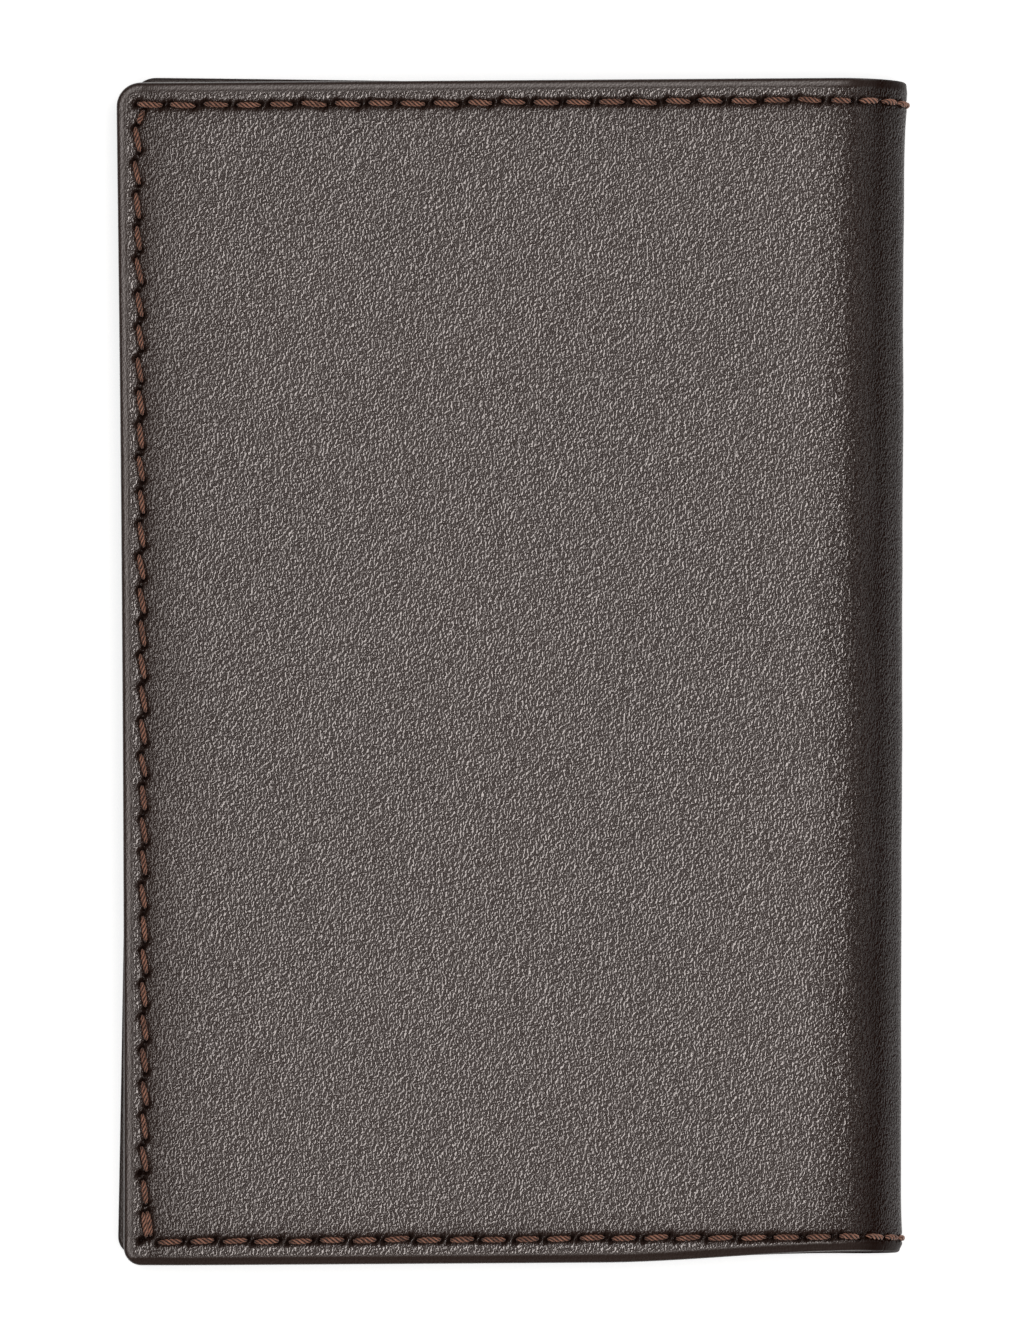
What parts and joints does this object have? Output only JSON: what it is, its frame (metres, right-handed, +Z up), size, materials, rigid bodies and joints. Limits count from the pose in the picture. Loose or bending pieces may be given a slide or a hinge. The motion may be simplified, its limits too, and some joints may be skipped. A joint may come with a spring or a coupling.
{
  "type": "business card case",
  "caption": "Bifold leather business card case: gusseted main pocket, slip pockets and card slots, and a rolling spine that opens flat.",
  "frame": {"origin": "under the middle of the closed case, on the surface it lies on", "axes": "+X from the free edges to the spine, +Y along the spine, +Z up from the rear panel's outer face to the front flap's outer face"},
  "size_m": [0.075, 0.1124, 0.015],
  "materials": {
    "outer_leather": "fine-grained smooth dark brown leather, satin sheen",
    "inner_leather": "fine-grained dark brown leather, softer sheen",
    "lining_leather": "thin matte brown lining leather",
    "stitching": "twisted reddish brown sewing thread",
    "lining_fabric": "dark brown twill lining cloth",
    "board": "matte bonded fibre stiffener board"
  },
  "bodies": {
    "rear_panel": {"rear_outer_leather": "outer_leather", "rear_outer_thread": "stitching", "rear_stiffener": "board", "rear_lining": "lining_leather", "rear_slip_panel": "inner_leather", "rear_inner_thread": "stitching", "pocket_gusset": "inner_leather"},
    "pocket_front": {"pocket_front_leather": "inner_leather", "pocket_front_lining": "lining_fabric", "pocket_thread": "stitching"},
    "spine_rear": {"spine_rear_leather": "outer_leather", "spine_rear_lining": "lining_leather", "spine_rear_thread_top": "stitching", "spine_rear_thread_bottom": "stitching"},
    "spine_middle": {"spine_middle_leather": "outer_leather", "spine_middle_lining": "lining_leather", "spine_middle_thread_top": "stitching", "spine_middle_thread_bottom": "stitching"},
    "spine_front": {"spine_front_leather": "outer_leather", "spine_front_lining": "lining_leather", "spine_front_thread_top": "stitching", "spine_front_thread_bottom": "stitching"},
    "front_flap": {"front_outer_leather": "outer_leather", "front_outer_thread": "stitching", "front_stiffener": "board", "front_lining": "lining_leather", "front_slip_panel": "inner_leather", "lower_slot_strip": "inner_leather", "lower_slot_backing": "lining_fabric", "upper_slot_panel": "inner_leather", "front_inner_thread": "stitching"}
  },
  "joints": [
    {"name": "fold_rear", "type": "hinge", "parent": "rear_panel", "child": "spine_rear", "pos_m": [0.03295, 0, 0.00039], "axis": [0, 1, 0], "range_deg": [0, 45]},
    {"name": "fold_lower", "type": "hinge", "parent": "spine_rear", "child": "spine_middle", "pos_m": [0.03711, 0, 0.00456], "axis": [0, 1, 0], "range_deg": [0, 45]},
    {"name": "fold_upper", "type": "hinge", "parent": "spine_middle", "child": "spine_front", "pos_m": [0.03711, 0, 0.01044], "axis": [0, 1, 0], "range_deg": [0, 45]},
    {"name": "fold_front", "type": "hinge", "parent": "spine_front", "child": "front_flap", "pos_m": [0.03295, 0, 0.01461], "axis": [0, 1, 0], "range_deg": [0, 45]},
    {"name": "gusset_swell", "type": "slide", "parent": "rear_panel", "child": "pocket_front", "axis": [0, 0, 1], "range_m": [-0.0035, 0.0012], "stiffness_N_per_m": 60, "deforming": ["pocket_gusset"]}
  ],
  "couplings": [
    {"joint": "fold_lower", "follows": "fold_rear", "ratio": 1},
    {"joint": "fold_upper", "follows": "fold_rear", "ratio": 1},
    {"joint": "fold_front", "follows": "fold_rear", "ratio": 1}
  ]
}
